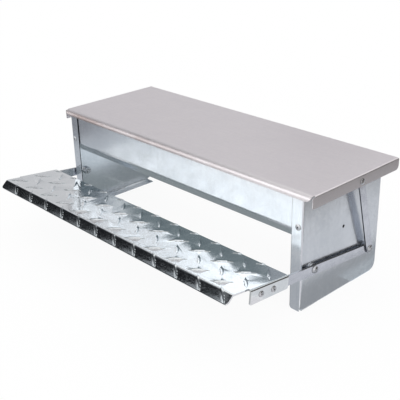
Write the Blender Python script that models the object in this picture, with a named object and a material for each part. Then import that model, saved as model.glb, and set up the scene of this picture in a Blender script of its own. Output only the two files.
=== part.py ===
# Treadle chicken feeder: a covered trough of folded sheet on two cheeks.
# A bird's weight on the treadle swings two arms, whose links lift the lid.
# Metres. X runs across, Y to the back, Z up. The origin is the middle of
# the outline's footprint, on the ground.

import math

import bmesh
import bpy
from mathutils import Matrix, Vector

# Body
body_width = 0.480
body_depth = 0.161
sheet = 0.001
gap = 0.0003
bend_radius = 0.0025
column_width = 0.01745
foot_width = 0.0170
corner_relief = 0.0015
foot_corner_radius = 0.0060
flange_corner_radius = 0.0030
cheek_rear_corner_radius = 0.0090
wall_hole_radius = 0.00225
wall_hole_from_front = 0.0826
wall_hole_height = 0.0930

# Trough
trough_rim_below_lid = 0.0023
panel_drop = 0.0484
facet_drop = 0.0234
trough_bend_radius = 0.0020
column_rivet_below_rim = 0.0422
column_rivet_from_edge = 0.0070

# Lid
lid_top_height = 0.1635
lid_side_overhang = 0.01345
lid_rear_overhang = 0.0173
lid_flange_depth = 0.0159
lid_side_bend_radius = 0.0020
lid_lip_radius = 0.0065
lid_lip_depth = 0.0080
lid_lip_corner_radius = 0.0080
lid_corner_relief = 0.0006
lid_flange_setback = 0.0022
lid_flange_corner_radius = 0.0015
lid_rear_corner_radius = 0.0060

# Rear hinge
leaf_thickness = 0.0012
curl_radius = 0.0026
hinge_pin_radius = 0.0011
hinge_pin_head_radius = 0.0016
hinge_pin_head_length = 0.0010
hinge_end_clearance = 0.00255
hinge_knuckles = 11
body_leaf_drop = 0.0166
lid_leaf_depth = 0.0134

# Treadle arms
arm_rest_tilt = math.radians(6.4)
pivot_from_front = 0.0198
pivot_height = 0.0569
arm_thickness = 0.0030
arm_stand_off = 0.0025
link_pin_from_rear = 0.0269
arm_rear_radius = 0.0060
arm_front_reach = 0.1140
arm_front_above = 0.0049
arm_front_below = 0.0090
arm_front_corner_radius = 0.0040

# Treadle plate
plate_thickness = 0.0025
plate_top_above_pivot = 0.0080
plate_rear_reach = 0.0540
plate_flange_end_reach = 0.1200
plate_front_fold_reach = 0.1438
plate_front_inset = 0.0048
plate_bend_radius = 0.0030
plate_front_bend_radius = 0.0040
plate_front_turn = math.radians(47)
plate_front_flat = 0.0125
plate_front_corner_radius = 0.0045
end_flange_front_below = 0.0120
end_flange_rear_below = 0.0093
end_flange_corner_radius = 0.0018
treadle_rivet_shares = (0.27, 0.60)

# Raised lugs of the tread pattern
lug_length = 0.0280
lug_width = 0.0070
lug_height = 0.0012
lug_pitch = 0.0400
lug_turn = math.radians(45)
lug_first_across = 0.0110
lug_first_forward = -0.0028
lug_sink = 0.0004
lug_front_trim = 0.0009
lug_taper_share = 0.86
lug_crown_share = 0.45
lug_fall_share = 0.55

# Links
link_thickness = 0.0020
link_lower_radius = 0.0065
link_upper_radius = 0.0060
link_set_start = 0.0140
link_set_length = 0.0850
lid_rivet_from_hinge = 0.0637
lid_rivet_below_top = 0.0099

# Rivets and bolts
rivet_shank_radius = 0.0020
rivet_head_radius = 0.00435
rivet_head_height = 0.0014
rivet_tail_radius = 0.0031
rivet_tail_height = 0.0014
rivet_dimple_radius = 0.0012
rivet_dimple_depth = 0.0007
link_rivet_shank_radius = 0.0025
link_rivet_head_radius = 0.0054
link_rivet_head_height = 0.0022
link_rivet_tail_radius = 0.0034
link_rivet_tail_height = 0.0012
lid_rivet_head_radius = 0.00465
pivot_bolt_radius = 0.0030
pivot_head_radius = 0.0052
pivot_head_height = 0.0030
pivot_socket_radius = 0.0018
pivot_socket_depth = 0.0014
pivot_spacer_radius = 0.0070
pivot_washer_radius = 0.0065
pivot_washer_thickness = 0.0012
nut_across_flats = 0.0100
nut_height = 0.0050
bolt_end_past_nut = 0.0012
hinge_rivet_head_radius = 0.0032
hinge_rivet_below_axis = 0.0101
hinge_rivet_count = 5
hinge_rivet_end_inset = 0.0200

# Fineness
bend_steps = 4
lip_steps = 8
curl_steps = 12
tray_bend_steps = 3
corner_steps = 5
dome_steps = 4
round_sides = 14
rivet_sides = 12
lug_stations = 4
bent_lug_stations = 8
cut_overrun = 0.0020
weld_distance = 0.000001

quarter_turn = math.radians(90)
curl_turn = math.radians(270)
full_turn = math.radians(360)
smooth_limit = math.radians(35)

# Sizes that follow from the ones above
half_width = body_width / 2
lid_half_width = half_width + lid_side_overhang
lid_front = -(sheet + gap)
lid_rear = body_depth + lid_rear_overhang
lid_under_height = lid_top_height - sheet
cheek_top_height = lid_under_height - gap
column_top_height = lid_top_height - lid_lip_radius
trough_front = sheet + gap
trough_back = body_depth - sheet - gap
trough_top_height = lid_under_height - trough_rim_below_lid
panel_bottom_height = trough_top_height - panel_drop
trough_bottom_height = panel_bottom_height - facet_drop
column_rivet_height = trough_top_height - column_rivet_below_rim
column_rivet_from_middle = half_width - column_rivet_from_edge
hinge_from_front = trough_back + gap + curl_radius
hinge_height = lid_under_height - gap - curl_radius
hinge_length = 2 * (half_width - column_width - hinge_end_clearance)
hinge_rivet_height = hinge_height - hinge_rivet_below_axis
arm_inner = half_width + arm_stand_off
arm_outer = arm_inner + arm_thickness
end_flange_inner = arm_outer + gap
end_flange_outer = end_flange_inner + plate_thickness
link_lower_outer = arm_outer + gap + link_thickness
plate_front_half_width = end_flange_outer - plate_front_inset
lid_rivet_height = lid_top_height - lid_rivet_below_top
lid_rivet_from_front = hinge_from_front - lid_rivet_from_hinge
link_upper_outer = lid_half_width - sheet - sheet / 2
link_pin_from_front = body_depth - link_pin_from_rear
arm_rear_reach = (link_pin_from_front - pivot_from_front) / math.cos(arm_rest_tilt)
link_pin_height = pivot_height - arm_rear_reach * math.sin(arm_rest_tilt)
link_run = link_pin_from_front - lid_rivet_from_front
link_rise = lid_rivet_height - link_pin_height
link_length = math.hypot(link_run, link_rise)
link_lean = math.atan2(link_run, link_rise)

# The front flange's arc and slope, and its tip
plate_front_arc = plate_front_bend_radius * plate_front_turn
plate_front_run = (
    plate_front_bend_radius * math.sin(plate_front_turn)
    + plate_front_flat * math.cos(plate_front_turn)
)
plate_front_fall = (
    plate_front_bend_radius * (1 - math.cos(plate_front_turn))
    + plate_front_flat * math.sin(plate_front_turn)
)
plate_skin_length = (
    plate_front_fold_reach - plate_rear_reach + plate_front_arc + plate_front_flat
)

# The body's front plane, set so that the outline is centred on the origin
treadle_front = (
    pivot_from_front
    - (plate_front_fold_reach + plate_front_run) * math.cos(arm_rest_tilt)
    + (plate_top_above_pivot - plate_front_fall) * math.sin(arm_rest_tilt)
)
front_plane = -(treadle_front + lid_rear) / 2

sides = {"left": -1, "right": 1}
across = Vector((1, 0, 0))
backward = Vector((0, 1, 0))
upward = Vector((0, 0, 1))


def clear_scene():
    for item in list(bpy.data.objects):
        bpy.data.objects.remove(item, do_unlink=True)


def make_material(name, colour, metallic, roughness):
    material = bpy.data.materials.new(name)
    material.use_nodes = True
    shader = material.node_tree.nodes["Principled BSDF"]
    shader.inputs["Base Color"].default_value = (*colour, 1)
    shader.inputs["Metallic"].default_value = metallic
    shader.inputs["Roughness"].default_value = roughness
    material.diffuse_color = (*colour, 1)
    return material


def make_axis(name, from_front, height, turn=0):
    axis = bpy.data.objects.new(name, None)
    axis.location = (0, front_plane + from_front, height)
    axis.rotation_euler = (turn, 0, 0)
    bpy.context.collection.objects.link(axis)
    return axis


def make_object(name, shape, material, parent, rounded=False):
    mesh = bpy.data.meshes.new(name)
    shape.to_mesh(mesh)
    shape.free()
    if rounded:
        mesh.shade_smooth()
        mesh.set_sharp_from_angle(angle=smooth_limit)
    item = bpy.data.objects.new(name, mesh)
    item.parent = parent
    item.data.materials.append(material)
    bpy.context.collection.objects.link(item)
    return item


def thicken(item, thickness):
    wall = item.modifiers.new("wall", "SOLIDIFY")
    wall.thickness = thickness
    wall.offset = -1
    wall.use_even_offset = True
    wall.use_quality_normals = True


def combine(item, other, operation):
    other.parent = item.parent
    other.hide_render = True
    other.display_type = "WIRE"
    step = item.modifiers.new(operation.lower(), "BOOLEAN")
    step.operation = operation
    step.object = other


def cut_holes(item, holes):
    # holes: centre, direction, radius and length of each round cutter
    shape = bmesh.new()
    for centre, direction, radius, length in holes:
        place = Matrix.Translation(centre) @ upward.rotation_difference(direction).to_matrix().to_4x4()
        bmesh.ops.create_cone(
            shape,
            cap_ends=True,
            segments=round_sides,
            radius1=radius,
            radius2=radius,
            depth=length,
            matrix=place,
        )
    cutter = make_object(item.name + "_holes", shape, item.data.materials[0], item.parent)
    combine(item, cutter, "DIFFERENCE")


def face_outward(shape, direction):
    # The skin's largest face looks the given way, and the rest follow it
    bmesh.ops.recalc_face_normals(shape, faces=shape.faces)
    largest = max(shape.faces, key=lambda face: face.calc_area())
    if largest.normal.dot(direction) < 0:
        bmesh.ops.reverse_faces(shape, faces=shape.faces)


def nearest(vertices, point):
    return min(vertices, key=lambda vertex: (vertex.co - point).length)


def fold(shape, first, second, outward, toward, radius, length, steps, turn=quarter_turn):
    # Bends a flange from the edge between two corners: an arc, then a flat
    axis = outward.cross(toward)
    centre = first.co + toward * radius
    rotation = Matrix.Rotation(turn, 3, axis)
    ends = [centre + rotation @ (corner.co - centre) for corner in (first, second)]
    edge = shape.edges.get((first, second))
    swept = bmesh.ops.spin(
        shape, geom=[first, second, edge], cent=centre, axis=axis, angle=turn, steps=steps
    )
    found = [item for item in swept["geom_last"] if isinstance(item, bmesh.types.BMVert)]
    start = [nearest(found, end) for end in ends]
    if length == 0:
        return start, start
    tip_edge = shape.edges.get(start)
    grown = bmesh.ops.extrude_edge_only(shape, edges=[tip_edge])
    tips = [item for item in grown["geom"] if isinstance(item, bmesh.types.BMVert)]
    bmesh.ops.translate(shape, verts=tips, vec=rotation @ outward * length)
    tip = [nearest(tips, vertex.co) for vertex in start]
    return start, tip


def extend(shape, first, second, step):
    # Lengthens a flat flange past its bend
    grown = bmesh.ops.extrude_edge_only(shape, edges=[shape.edges.get((first, second))])
    tips = [item for item in grown["geom"] if isinstance(item, bmesh.types.BMVert)]
    wanted = [first.co + step, second.co + step]
    bmesh.ops.translate(shape, verts=tips, vec=step)
    return [nearest(tips, point) for point in wanted]


def round_corners(shape, vertices, radius):
    bmesh.ops.bevel(
        shape, geom=vertices, offset=radius, segments=corner_steps, profile=0.5, affect="VERTICES"
    )


def arc(centre, radius, start, turn, steps):
    points = []
    for step in range(steps + 1):
        angle = start + turn * step / steps
        points.append((centre[0] + radius * math.cos(angle), centre[1] + radius * math.sin(angle)))
    return points


def revolve(shape, outline, place, steps=round_sides, closed=False):
    # outline: (radius, height) pairs about the local Z axis
    vertices = [shape.verts.new((radius, 0, height)) for radius, height in outline]
    pairs = list(zip(vertices, vertices[1:]))
    if closed:
        pairs.append((vertices[-1], vertices[0]))
    edges = [shape.edges.new(pair) for pair in pairs]
    before = set(shape.verts) - set(vertices)
    bmesh.ops.spin(
        shape,
        geom=vertices + edges,
        cent=(0, 0, 0),
        axis=(0, 0, 1),
        angle=full_turn,
        steps=steps,
        use_merge=True,
    )
    made = [vertex for vertex in shape.verts if vertex not in before]
    bmesh.ops.remove_doubles(shape, verts=made, dist=weld_distance)
    made = [vertex for vertex in shape.verts if vertex not in before]
    bmesh.ops.transform(shape, matrix=place, verts=made)
    bmesh.ops.recalc_face_normals(shape, faces=shape.faces)


def facing(point, direction):
    turn = upward.rotation_difference(direction).to_matrix().to_4x4()
    return Matrix.Translation(point) @ turn


def dome(radius, height, hollow_radius, base):
    # The crown of a head, from its rim to the edge of its dimple
    points = []
    start = 0
    end = math.acos(hollow_radius / radius)
    for step in range(dome_steps):
        angle = start + (end - start) * step / (dome_steps - 1)
        points.append((radius * math.cos(angle), base + height * math.sin(angle)))
    return points


def rivet_outline(shank, head_radius, head_height, grip, tail_radius, tail_height):
    # Height zero is the face that the head sits on; grip is what it passes
    outline = [(0, head_height - rivet_dimple_depth)]
    outline.append((rivet_dimple_radius, head_height - rivet_dimple_depth))
    outline += reversed(dome(head_radius, head_height - gap, rivet_dimple_radius, gap))
    outline.append((shank, gap))
    if tail_height == 0:
        outline.append((shank, -grip))
        outline.append((0, -grip))
        return outline
    outline.append((shank, -grip - gap))
    outline.append((tail_radius, -grip - gap))
    outline.append((tail_radius, -grip - gap - tail_height / 2))
    outline.append((tail_radius / 2, -grip - gap - tail_height))
    outline.append((0, -grip - gap - tail_height))
    return outline


# Cheeks: folded side plates that are also the legs


def make_cheek(name, side, material, parent):
    shape = bmesh.new()
    plane = side * half_width
    fold_front = bend_radius
    fold_rear = body_depth - bend_radius
    fold_bottom = bend_radius
    rear_corner = (fold_rear - cheek_rear_corner_radius, fold_bottom + cheek_rear_corner_radius)
    lower_rear = arc(rear_corner, cheek_rear_corner_radius, 0, -quarter_turn, corner_steps)
    outline = [
        (fold_front, fold_bottom + corner_relief),
        (fold_front, column_top_height),
        (lid_front + lid_lip_radius, cheek_top_height),
        (fold_rear, cheek_top_height),
        *lower_rear,
        (fold_front + corner_relief, fold_bottom),
        (fold_front + corner_relief, fold_bottom + corner_relief),
    ]
    vertices = [shape.verts.new((plane, y, z)) for y, z in outline]
    shape.faces.new(vertices)
    column_bottom, column_top, _, rear_top, rear_bottom = vertices[:5]
    foot_rear, foot_front = vertices[-3:-1]
    inward = across * -side
    column_flat = column_width - bend_radius
    foot_flat = foot_width - bend_radius

    start, tip = fold(
        shape, column_bottom, column_top, -backward, inward, bend_radius, column_flat, bend_steps
    )
    toe = extend(shape, start[0], tip[0], -upward * (fold_bottom + corner_relief))
    round_corners(shape, [toe[1]], foot_corner_radius)
    start, tip = fold(
        shape, rear_bottom, rear_top, backward, inward, bend_radius, column_flat, bend_steps
    )
    round_corners(shape, [tip[0]], flange_corner_radius)
    start, tip = fold(
        shape, foot_front, foot_rear, -upward, inward, bend_radius, foot_flat, bend_steps
    )
    round_corners(shape, tip, flange_corner_radius)
    face_outward(shape, across * side)
    cheek = make_object(name, shape, material, parent)
    thicken(cheek, sheet)

    rivet_hole = rivet_shank_radius + gap
    rivet_across = side * column_rivet_from_middle
    length = 2 * (sheet + cut_overrun)
    cut_holes(cheek, [
        ((plane, wall_hole_from_front, wall_hole_height), across, wall_hole_radius, length),
        ((plane, pivot_from_front, pivot_height), across, pivot_bolt_radius + gap, length),
        ((rivet_across, 0, column_rivet_height), backward, rivet_hole, length),
        ((rivet_across, body_depth, column_rivet_height), backward, rivet_hole, length),
    ])
    return cheek


# Trough: a folded tray, riveted between the cheeks


def make_trough(name, material, parent):
    shape = bmesh.new()
    end = half_width - sheet - gap
    facet_depth = panel_bottom_height - trough_bottom_height
    outline = [
        (trough_front, trough_top_height),
        (trough_front, panel_bottom_height),
        (trough_front + facet_depth, trough_bottom_height),
        (trough_back, trough_bottom_height),
        (trough_back, trough_top_height),
    ]
    left = [shape.verts.new((-end, y, z)) for y, z in outline]
    right = [shape.verts.new((end, y, z)) for y, z in outline]
    for index in range(len(outline) - 1):
        shape.faces.new((left[index], left[index + 1], right[index + 1], right[index]))
    shape.faces.new(left)
    shape.faces.new(list(reversed(right)))
    mouth = shape.faces.new((left[0], right[0], right[-1], left[-1]))
    folds = [edge for edge in shape.edges if edge not in mouth.edges[:]]
    bmesh.ops.bevel(
        shape, geom=folds, offset=trough_bend_radius, segments=tray_bend_steps, profile=0.5,
        affect="EDGES",
    )
    bmesh.ops.recalc_face_normals(shape, faces=shape.faces)
    mouth = max(shape.faces, key=lambda face: face.calc_center_median().z)
    bmesh.ops.delete(shape, geom=[mouth], context="FACES_ONLY")
    trough = make_object(name, shape, material, parent)
    thicken(trough, sheet)

    length = 2 * (sheet + cut_overrun)
    rivet_hole = rivet_shank_radius + gap
    holes = []
    for side in sides.values():
        for from_front in (trough_front, trough_back):
            centre = (side * column_rivet_from_middle, from_front, column_rivet_height)
            holes.append((centre, backward, rivet_hole, length))
    for place in hinge_rivet_places():
        holes.append(((place, trough_back, hinge_rivet_height), backward, rivet_hole, length))
    cut_holes(trough, holes)
    return trough


# Lid: a folded sheet with a round front lip


def trim_lip_ends(shape, fold_front, lip_flat):
    # The lip's lower corners are cut round, before it is rolled over
    skin = lid_lip_radius * quarter_turn + lip_flat
    for vertex in shape.verts:
        ahead = fold_front - vertex.co.y
        if ahead < gap:
            continue
        turned = math.acos(max(0, 1 - (lid_top_height - vertex.co.z) / lid_lip_radius))
        along = lid_lip_radius * turned
        if turned >= quarter_turn:
            along += lid_top_height - lid_lip_radius - vertex.co.z
        past = along - (skin - lid_lip_corner_radius)
        if past > 0:
            left_over = math.sqrt(max(0, lid_lip_corner_radius ** 2 - past ** 2))
            shift = lid_lip_corner_radius - left_over
            vertex.co.x -= math.copysign(shift, vertex.co.x)


def make_lid(name, material, parent):
    shape = bmesh.new()
    fold_side = lid_half_width - lid_side_bend_radius
    lip_end = fold_side - lid_corner_relief
    fold_front = lid_front + lid_lip_radius
    flange_start = fold_front + lid_corner_relief
    rear = lid_rear
    height = lid_top_height
    outline = [
        (-lip_end, fold_front), (lip_end, fold_front), (lip_end, flange_start),
        (fold_side, flange_start), (fold_side, rear), (-fold_side, rear),
        (-fold_side, flange_start), (-lip_end, flange_start),
    ]
    vertices = [shape.verts.new((x, y, height)) for x, y in outline]
    shape.faces.new(vertices)
    lip_flat = lid_lip_depth - lid_lip_radius
    start, tip = fold(
        shape, vertices[0], vertices[1], -backward, -upward, lid_lip_radius, lip_flat, lip_steps
    )
    trim_lip_ends(shape, fold_front, lip_flat)
    flange_flat = lid_flange_depth - lid_side_bend_radius
    forward_step = -backward * (flange_start - lid_front - lid_flange_setback)
    for side, front, back in ((1, vertices[3], vertices[4]), (-1, vertices[6], vertices[5])):
        start, tip = fold(
            shape, front, back, across * side, -upward, lid_side_bend_radius, flange_flat,
            bend_steps,
        )
        grown = extend(shape, start[0], tip[0], forward_step)
        round_corners(shape, [tip[1]], lid_rear_corner_radius)
        round_corners(shape, [grown[1]], lid_flange_corner_radius)
    face_outward(shape, upward)
    shift = Vector((0, -hinge_from_front, -hinge_height))
    bmesh.ops.translate(shape, verts=shape.verts, vec=shift)
    lid = make_object(name, shape, material, parent, rounded=True)
    thicken(lid, sheet)
    length = 2 * (sheet + cut_overrun)
    cut_holes(lid, [
        (
            (side * lid_half_width, lid_rivet_from_front + shift.y, lid_rivet_height + shift.z),
            across,
            rivet_shank_radius + gap,
            length,
        )
        for side in sides.values()
    ])
    return lid


# Rear hinge: two leaves whose comb edges curl round one pin


def knuckle_spans(first):
    # Every second knuckle along the hinge, from the first or the second on
    pitch = hinge_length / hinge_knuckles
    for index in range(first, hinge_knuckles, 2):
        start = -hinge_length / 2 + pitch * index
        yield start + gap / 2, start + pitch - gap / 2


def make_leaf(name, material, parent, first, outward, curl_toward, free_edge, holes=()):
    # A comb in the plane of the curl's outside, then a curl at each tooth.
    # The leaf lies on the far side of the axis from its curl.
    shape = bmesh.new()
    base = curl_toward * -curl_radius
    notch = base - outward * (curl_radius + gap)
    free = base - outward * free_edge
    spans = list(knuckle_spans(first))
    end = hinge_length / 2
    outline = [across * -end + free, across * end + free]
    teeth = []
    if spans[-1][1] < end - gap:
        outline.append(across * end + notch)
    for start, stop in reversed(spans):
        if stop < end - gap:
            outline.append(across * stop + notch)
        outline.append(across * stop + base)
        outline.append(across * start + base)
        teeth.append(len(outline) - 1)
        if start > -end + gap:
            outline.append(across * start + notch)
    if spans[0][0] > -end + gap:
        outline.append(across * -end + notch)
    vertices = [shape.verts.new(point) for point in outline]
    shape.faces.new(vertices)
    for index in teeth:
        fold(
            shape, vertices[index], vertices[index - 1], outward, curl_toward, curl_radius, 0,
            curl_steps, curl_turn,
        )
    face_outward(shape, -curl_toward)
    leaf = make_object(name, shape, material, parent, rounded=True)
    thicken(leaf, leaf_thickness)
    if holes:
        cut_holes(leaf, holes)
    return leaf


def hinge_rivet_places():
    run = hinge_length - 2 * hinge_rivet_end_inset
    for index in range(hinge_rivet_count):
        yield -run / 2 + run * index / (hinge_rivet_count - 1)


def make_hinge_pin(name, material, parent):
    shape = bmesh.new()
    end = hinge_length / 2 + gap
    head = end + hinge_pin_head_length
    outline = [
        (0, -head), (hinge_pin_head_radius, -head), (hinge_pin_head_radius, -end),
        (hinge_pin_radius, -end), (hinge_pin_radius, end), (hinge_pin_head_radius, end),
        (hinge_pin_head_radius, head), (0, head),
    ]
    revolve(shape, outline, facing((0, 0, 0), across))
    return make_object(name, shape, material, parent, rounded=True)


# Treadle: two flat arms, the plate on them and its rivets


def treadle_rivet_places():
    # Reach ahead of the pivot and height above the arm's line
    height = (arm_front_above - arm_front_below) / 2
    run = plate_flange_end_reach - plate_rear_reach
    front = plate_flange_end_reach - run * treadle_rivet_shares[0]
    rear = plate_flange_end_reach - run * treadle_rivet_shares[1]
    return [(front, height), (rear, height)]


def make_arm(name, side, material, parent):
    shape = bmesh.new()
    rear_end = arc((arm_rear_reach, 0), arm_rear_radius, quarter_turn, -2 * quarter_turn, round_sides)
    outline = [
        *rear_end,
        (-arm_front_reach, -arm_front_below),
        (-arm_front_reach, arm_front_above),
    ]
    inner = [shape.verts.new((side * arm_inner, y, z)) for y, z in outline]
    shape.faces.new(inner)
    round_corners(shape, inner[-2:], arm_front_corner_radius)
    face_outward(shape, across * side)
    bmesh.ops.translate(shape, verts=shape.verts, vec=across * side * arm_thickness)
    arm = make_object(name, shape, material, parent)
    thicken(arm, arm_thickness)
    middle = side * (arm_inner + arm_outer) / 2
    length = arm_thickness + 2 * cut_overrun
    holes = [
        ((middle, 0, 0), across, pivot_bolt_radius + gap, length),
        ((middle, arm_rear_reach, 0), across, link_rivet_shank_radius + gap, length),
    ]
    for reach, height in treadle_rivet_places():
        holes.append(((middle, -reach, height), across, rivet_shank_radius + gap, length))
    cut_holes(arm, holes)
    return arm


def wrapped(across_place, forward, height):
    # A point of the flat tread pattern, carried over the front bend.
    # forward is measured from the plate's rear edge along its skin.
    flat = plate_front_fold_reach - plate_rear_reach
    past = forward - flat
    if past <= 0:
        return Vector((across_place, -(plate_rear_reach + forward), plate_top_above_pivot + height))
    turned = min(past / plate_front_bend_radius, plate_front_turn)
    radius = plate_front_bend_radius + height
    down = max(past - plate_front_arc, 0)
    reach = plate_front_fold_reach + radius * math.sin(turned) + down * math.cos(turned)
    centre_height = plate_top_above_pivot - plate_front_bend_radius
    level = centre_height + radius * math.cos(turned) - down * math.sin(turned)
    return Vector((across_place, -reach, level))


def add_lug(shape, middle, forward, lean, stations):
    # A lens with sloped sides and a flat crown, sunk a little in the plate
    rings = []
    for station in range(stations + 1):
        along = 2 * station / stations - 1
        half = lug_width / 2 * (1 - along * along * lug_taper_share)
        crown = half * lug_crown_share
        rise = lug_height * (1 - along * along * lug_fall_share)
        section = ((-half, -lug_sink), (-crown, rise), (crown, rise), (half, -lug_sink))
        ring = []
        for sideways, height in section:
            distance = along * lug_length / 2
            x = middle + distance * math.sin(lean) + sideways * math.cos(lean)
            v = forward + distance * math.cos(lean) - sideways * math.sin(lean)
            ring.append(shape.verts.new(wrapped(x, v, height)))
        rings.append(ring)
    for first, second in zip(rings, rings[1:]):
        for corner in range(len(first)):
            following = (corner + 1) % len(first)
            shape.faces.new((first[corner], first[following], second[following], second[corner]))
    shape.faces.new(rings[0])
    shape.faces.new(rings[-1])


def make_lugs(name, material, parent):
    # Two square lattices of lugs, half a pitch apart, leaning opposite ways.
    # The rear and front rows are sheared off with the plate's edges.
    shape = bmesh.new()
    half_span = lug_length / 2 * math.sin(lug_turn)
    fold_line = plate_front_fold_reach - plate_rear_reach
    for lean, offset in ((-lug_turn, 0), (lug_turn, lug_pitch / 2)):
        columns = int(body_width / lug_pitch) + 1
        for column in range(-columns, columns):
            middle = lug_first_across + offset + lug_pitch * column
            if abs(middle) + half_span > plate_front_half_width - gap:
                continue
            forward = lug_first_forward + offset
            while forward < plate_skin_length:
                bent = forward + half_span > fold_line
                add_lug(shape, middle, forward, lean, bent_lug_stations if bent else lug_stations)
                forward += lug_pitch
    front_tip = wrapped(0, plate_skin_length - lug_front_trim, 0)
    front_slope = (front_tip - wrapped(0, plate_skin_length - plate_front_flat, 0)).normalized()
    for edge, direction in (((0, -plate_rear_reach - gap, 0), backward), (front_tip, front_slope)):
        bmesh.ops.bisect_plane(
            shape,
            geom=shape.verts[:] + shape.edges[:] + shape.faces[:],
            plane_co=edge,
            plane_no=direction,
            clear_outer=True,
        )
        bmesh.ops.holes_fill(shape, edges=[edge for edge in shape.edges if edge.is_boundary])
    bmesh.ops.recalc_face_normals(shape, faces=shape.faces)
    return make_object(name, shape, material, parent)


def make_plate(name, material, parent):
    shape = bmesh.new()
    fold_side = end_flange_outer - plate_bend_radius
    fold_front = plate_front_fold_reach
    height = plate_top_above_pivot
    outline = [
        (-plate_front_half_width, -fold_front), (plate_front_half_width, -fold_front),
        (plate_front_half_width, -plate_flange_end_reach), (fold_side, -plate_flange_end_reach),
        (fold_side, -plate_rear_reach), (-fold_side, -plate_rear_reach),
        (-fold_side, -plate_flange_end_reach), (-plate_front_half_width, -plate_flange_end_reach),
    ]
    vertices = [shape.verts.new((x, y, height)) for x, y in outline]
    shape.faces.new(vertices)
    start, tip = fold(
        shape, vertices[0], vertices[1], -backward, -upward, plate_front_bend_radius,
        plate_front_flat, bend_steps, plate_front_turn,
    )
    round_corners(shape, tip, plate_front_corner_radius)
    for side, front, back in ((1, vertices[3], vertices[4]), (-1, vertices[6], vertices[5])):
        start, tip = fold(
            shape, front, back, across * side, -upward, plate_bend_radius, plate_bend_radius,
            bend_steps,
        )
        tip[0].co.z = -end_flange_front_below
        tip[1].co.z = -end_flange_rear_below
        round_corners(shape, tip, end_flange_corner_radius)
    face_outward(shape, upward)
    plate = make_object(name, shape, material, parent)
    thicken(plate, plate_thickness)
    lugs = make_lugs(name + "_lugs", material, parent)
    combine(plate, lugs, "UNION")
    holes = []
    length = plate_thickness + 2 * cut_overrun
    for side in sides.values():
        for reach, above in treadle_rivet_places():
            centre = (side * (end_flange_inner + end_flange_outer) / 2, -reach, above)
            holes.append((centre, across, rivet_shank_radius + gap, length))
    cut_holes(plate, holes)
    return plate


# Links: flat straps, set outward into the lid's side flange


def make_link(name, side, material, parent):
    shape = bmesh.new()
    half_turn = 2 * quarter_turn
    lower = arc((0, 0), link_lower_radius, half_turn, half_turn, round_sides)
    upper = arc((0, link_length), link_upper_radius, 0, half_turn, round_sides)
    outer = side * link_lower_outer
    vertices = [shape.verts.new((outer, y, z)) for y, z in lower + upper]
    shape.faces.new(vertices)
    set_end = link_set_start + link_set_length
    for height in (link_set_start, set_end):
        everything = shape.verts[:] + shape.edges[:] + shape.faces[:]
        bmesh.ops.bisect_plane(shape, geom=everything, plane_co=(0, 0, height), plane_no=upward)
    step = side * (link_upper_outer - link_lower_outer)
    for vertex in shape.verts:
        if vertex.co.z > set_end - gap:
            vertex.co.x += step
    face_outward(shape, across * side)
    link = make_object(name, shape, material, parent)
    thicken(link, link_thickness)
    length = 2 * (link_thickness + cut_overrun)
    cut_holes(link, [
        ((outer, 0, 0), across, link_rivet_shank_radius + gap, length),
        ((outer + step, 0, link_length), across, rivet_shank_radius + gap, length),
    ])
    return link


# Pivot bolts with their spacer, washer and nut


def make_ring(name, inner_face, thickness, radius, side, material, parent):
    shape = bmesh.new()
    hole = pivot_bolt_radius + gap
    outline = [(hole, 0), (radius, 0), (radius, thickness), (hole, thickness)]
    place = facing((side * inner_face, pivot_from_front, pivot_height), across * side)
    revolve(shape, outline, place, closed=True)
    return make_object(name, shape, material, parent, rounded=True)


def make_pivot_set(word, side, material, parent):
    direction = across * side
    seat = Vector((side * (arm_outer + gap), pivot_from_front, pivot_height))
    washer_outer = half_width - sheet - gap
    washer_inner = washer_outer - pivot_washer_thickness
    nut_outer = washer_inner - gap
    nut_inner = nut_outer - nut_height
    shank_length = arm_outer + gap - nut_inner + bolt_end_past_nut
    crown = dome(pivot_head_radius, pivot_head_height, pivot_socket_radius, 0)
    outline = [(0, pivot_head_height - pivot_socket_depth)]
    outline.append((pivot_socket_radius, pivot_head_height - pivot_socket_depth))
    outline += reversed(crown)
    outline.append((pivot_bolt_radius, 0))
    outline.append((pivot_bolt_radius, -shank_length))
    outline.append((0, -shank_length))
    shape = bmesh.new()
    revolve(shape, outline, facing(seat, direction))
    make_object(word + "_pivot_bolt", shape, material, parent, rounded=True)

    spacer = arm_stand_off - 2 * gap
    make_ring(
        word + "_pivot_spacer", half_width + gap, spacer, pivot_spacer_radius, side, material,
        parent,
    )
    make_ring(
        word + "_pivot_washer", washer_inner, pivot_washer_thickness, pivot_washer_radius, side,
        material, parent,
    )

    shape = bmesh.new()
    middle = side * (nut_outer + nut_inner) / 2
    corner_radius = nut_across_flats / 2 / math.cos(quarter_turn / 3)
    bmesh.ops.create_cone(
        shape,
        cap_ends=True,
        segments=6,
        radius1=corner_radius,
        radius2=corner_radius,
        depth=nut_height,
        matrix=facing((middle, pivot_from_front, pivot_height), direction),
    )
    nut = make_object(word + "_pivot_nut", shape, material, parent)
    bore = (middle, pivot_from_front, pivot_height)
    cut_holes(nut, [(bore, across, pivot_bolt_radius + gap, nut_height + 2 * cut_overrun)])


# Rivets: copies of one turned mesh for each kind


def make_rivet_mesh(name, outline, material):
    shape = bmesh.new()
    revolve(shape, outline, Matrix.Identity(4), rivet_sides)
    mesh = bpy.data.meshes.new(name)
    shape.to_mesh(mesh)
    shape.free()
    mesh.shade_smooth()
    mesh.set_sharp_from_angle(angle=smooth_limit)
    mesh.materials.append(material)
    return mesh


def place_rivet(name, mesh, seat, direction, parent):
    rivet = bpy.data.objects.new(name, mesh)
    rivet.parent = parent
    rivet.location = seat
    rivet.rotation_euler = upward.rotation_difference(direction).to_euler()
    bpy.context.collection.objects.link(rivet)


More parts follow.
